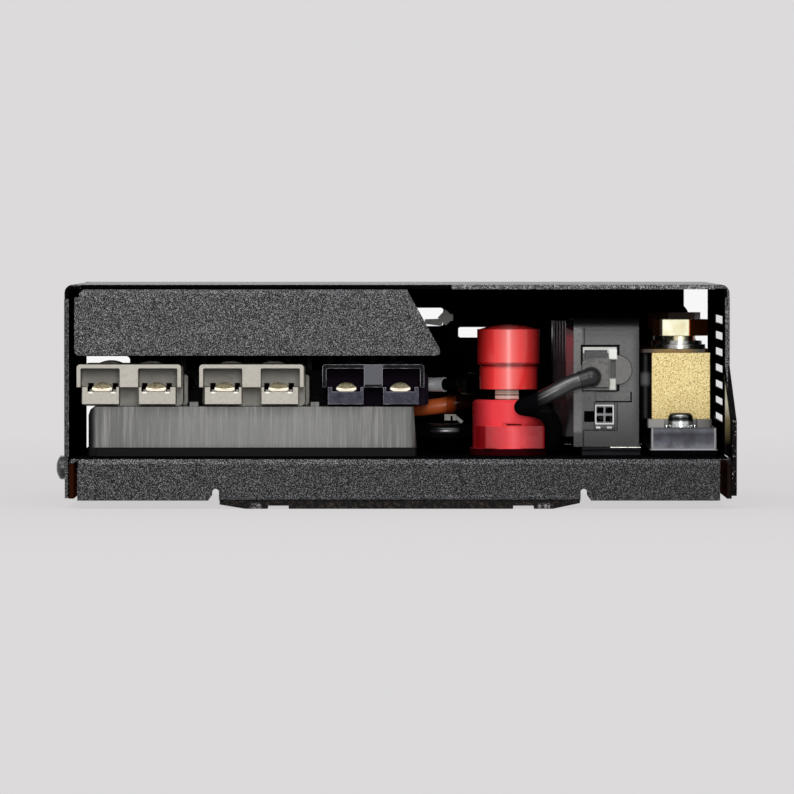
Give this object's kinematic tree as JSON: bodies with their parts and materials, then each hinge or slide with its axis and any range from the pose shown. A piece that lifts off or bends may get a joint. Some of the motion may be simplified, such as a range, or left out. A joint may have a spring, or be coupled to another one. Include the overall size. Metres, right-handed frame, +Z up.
{
  "type": "dc to dc battery charger",
  "caption": "Folded steel charging box with an open terminal side: two-pole battery connectors, a capped red stud, a plug-in battery monitor, a brass shunt and the charger module behind them.",
  "frame": {"origin": "middle of the box's outline, on the underside of its foot rails", "axes": "+X to the right seen from the open terminal side, +Y to the back, +Z up"},
  "size_m": [0.2372, 0.2, 0.0781],
  "materials": {
    "powder_coat": "fine-textured black powder coat, satin",
    "foot_paint": "smooth black paint",
    "black_screw": "black zinc",
    "zinc_steel": "bright zinc",
    "nickel_sheet": "plated sheet",
    "carrier_plastic": "satin black moulding",
    "grey_shell": "warm grey moulding",
    "black_shell": "glossy black moulding",
    "contact_silver": "silver plate, slightly warm",
    "red_cap": "glossy red moulding",
    "red_base": "satin red moulding",
    "copper_lug": "tinned copper, dull",
    "monitor_shell": "dark grey moulding",
    "side_shell": "dark moulding with a red stripe",
    "plug_shell": "grey moulding",
    "socket_shell": "pale grey moulding",
    "shunt_foot": "glossy dark moulding",
    "brass_block": "grainy sawn brass",
    "brass_bolt": "turned brass",
    "strip_alloy": "copper-coloured resistance alloy",
    "board": "dark circuit board",
    "black_mould": "glossy black moulding",
    "module_alloy": "black anodised",
    "end_plate": "black paint",
    "block_green": "green moulding",
    "lead_black": "black insulation",
    "lead_orange": "orange insulation",
    "sleeve_grey": "pale grey heat-shrink",
    "tie_grey": "pale grey nylon"
  },
  "bodies": {
    "root": {"cover": "powder_coat", "front_panel": "powder_coat", "base_tray": "powder_coat", "foot_rail_front": "foot_paint", "foot_rail_rear": "foot_paint", "fixing_nuts": "zinc_steel", "side_screws": "black_screw", "ear_rivets": "powder_coat", "connector_carrier": "carrier_plastic", "connector_housing_1": "grey_shell", "connector_housing_2": "grey_shell", "connector_housing_3": "black_shell", "connector_contacts_1": "contact_silver", "connector_contacts_2": "contact_silver", "connector_contacts_3": "contact_silver", "connector_screws": "zinc_steel", "stud_base": "red_base", "terminal_stud": "zinc_steel", "stud_ring_lugs": "copper_lug", "stud_nut_and_washer": "zinc_steel", "stud_cap": "red_cap", "monitor_case": "monitor_shell", "monitor_side_panel": "side_shell", "monitor_plug": "plug_shell", "monitor_socket": "socket_shell", "monitor_bracket": "nickel_sheet", "monitor_lead": "lead_black", "shunt_base": "shunt_foot", "shunt_block_front": "brass_block", "shunt_block_rear": "brass_block", "shunt_resistance_strips": "strip_alloy", "shunt_bolt_front": "brass_bolt", "shunt_bolt_rear": "brass_bolt", "shunt_washers": "zinc_steel", "shunt_board": "board", "shunt_board_cover": "black_mould", "shunt_screws": "zinc_steel", "shunt_rear_lug": "copper_lug", "charger_module": "module_alloy", "module_end_plate": "end_plate", "module_screws": "zinc_steel", "module_terminal_block": "block_green", "tray_screws": "zinc_steel", "lead_input_pair": "lead_black", "lead_solar_pair": "lead_black", "lead_output_positive": "lead_black", "lead_output_negative": "lead_black", "lead_sleeve": "sleeve_grey", "lead_stud": "lead_orange", "lead_shunt": "lead_black", "cable_tie_upper": "tie_grey", "cable_tie_lower": "tie_grey"}
  },
  "joints": []
}
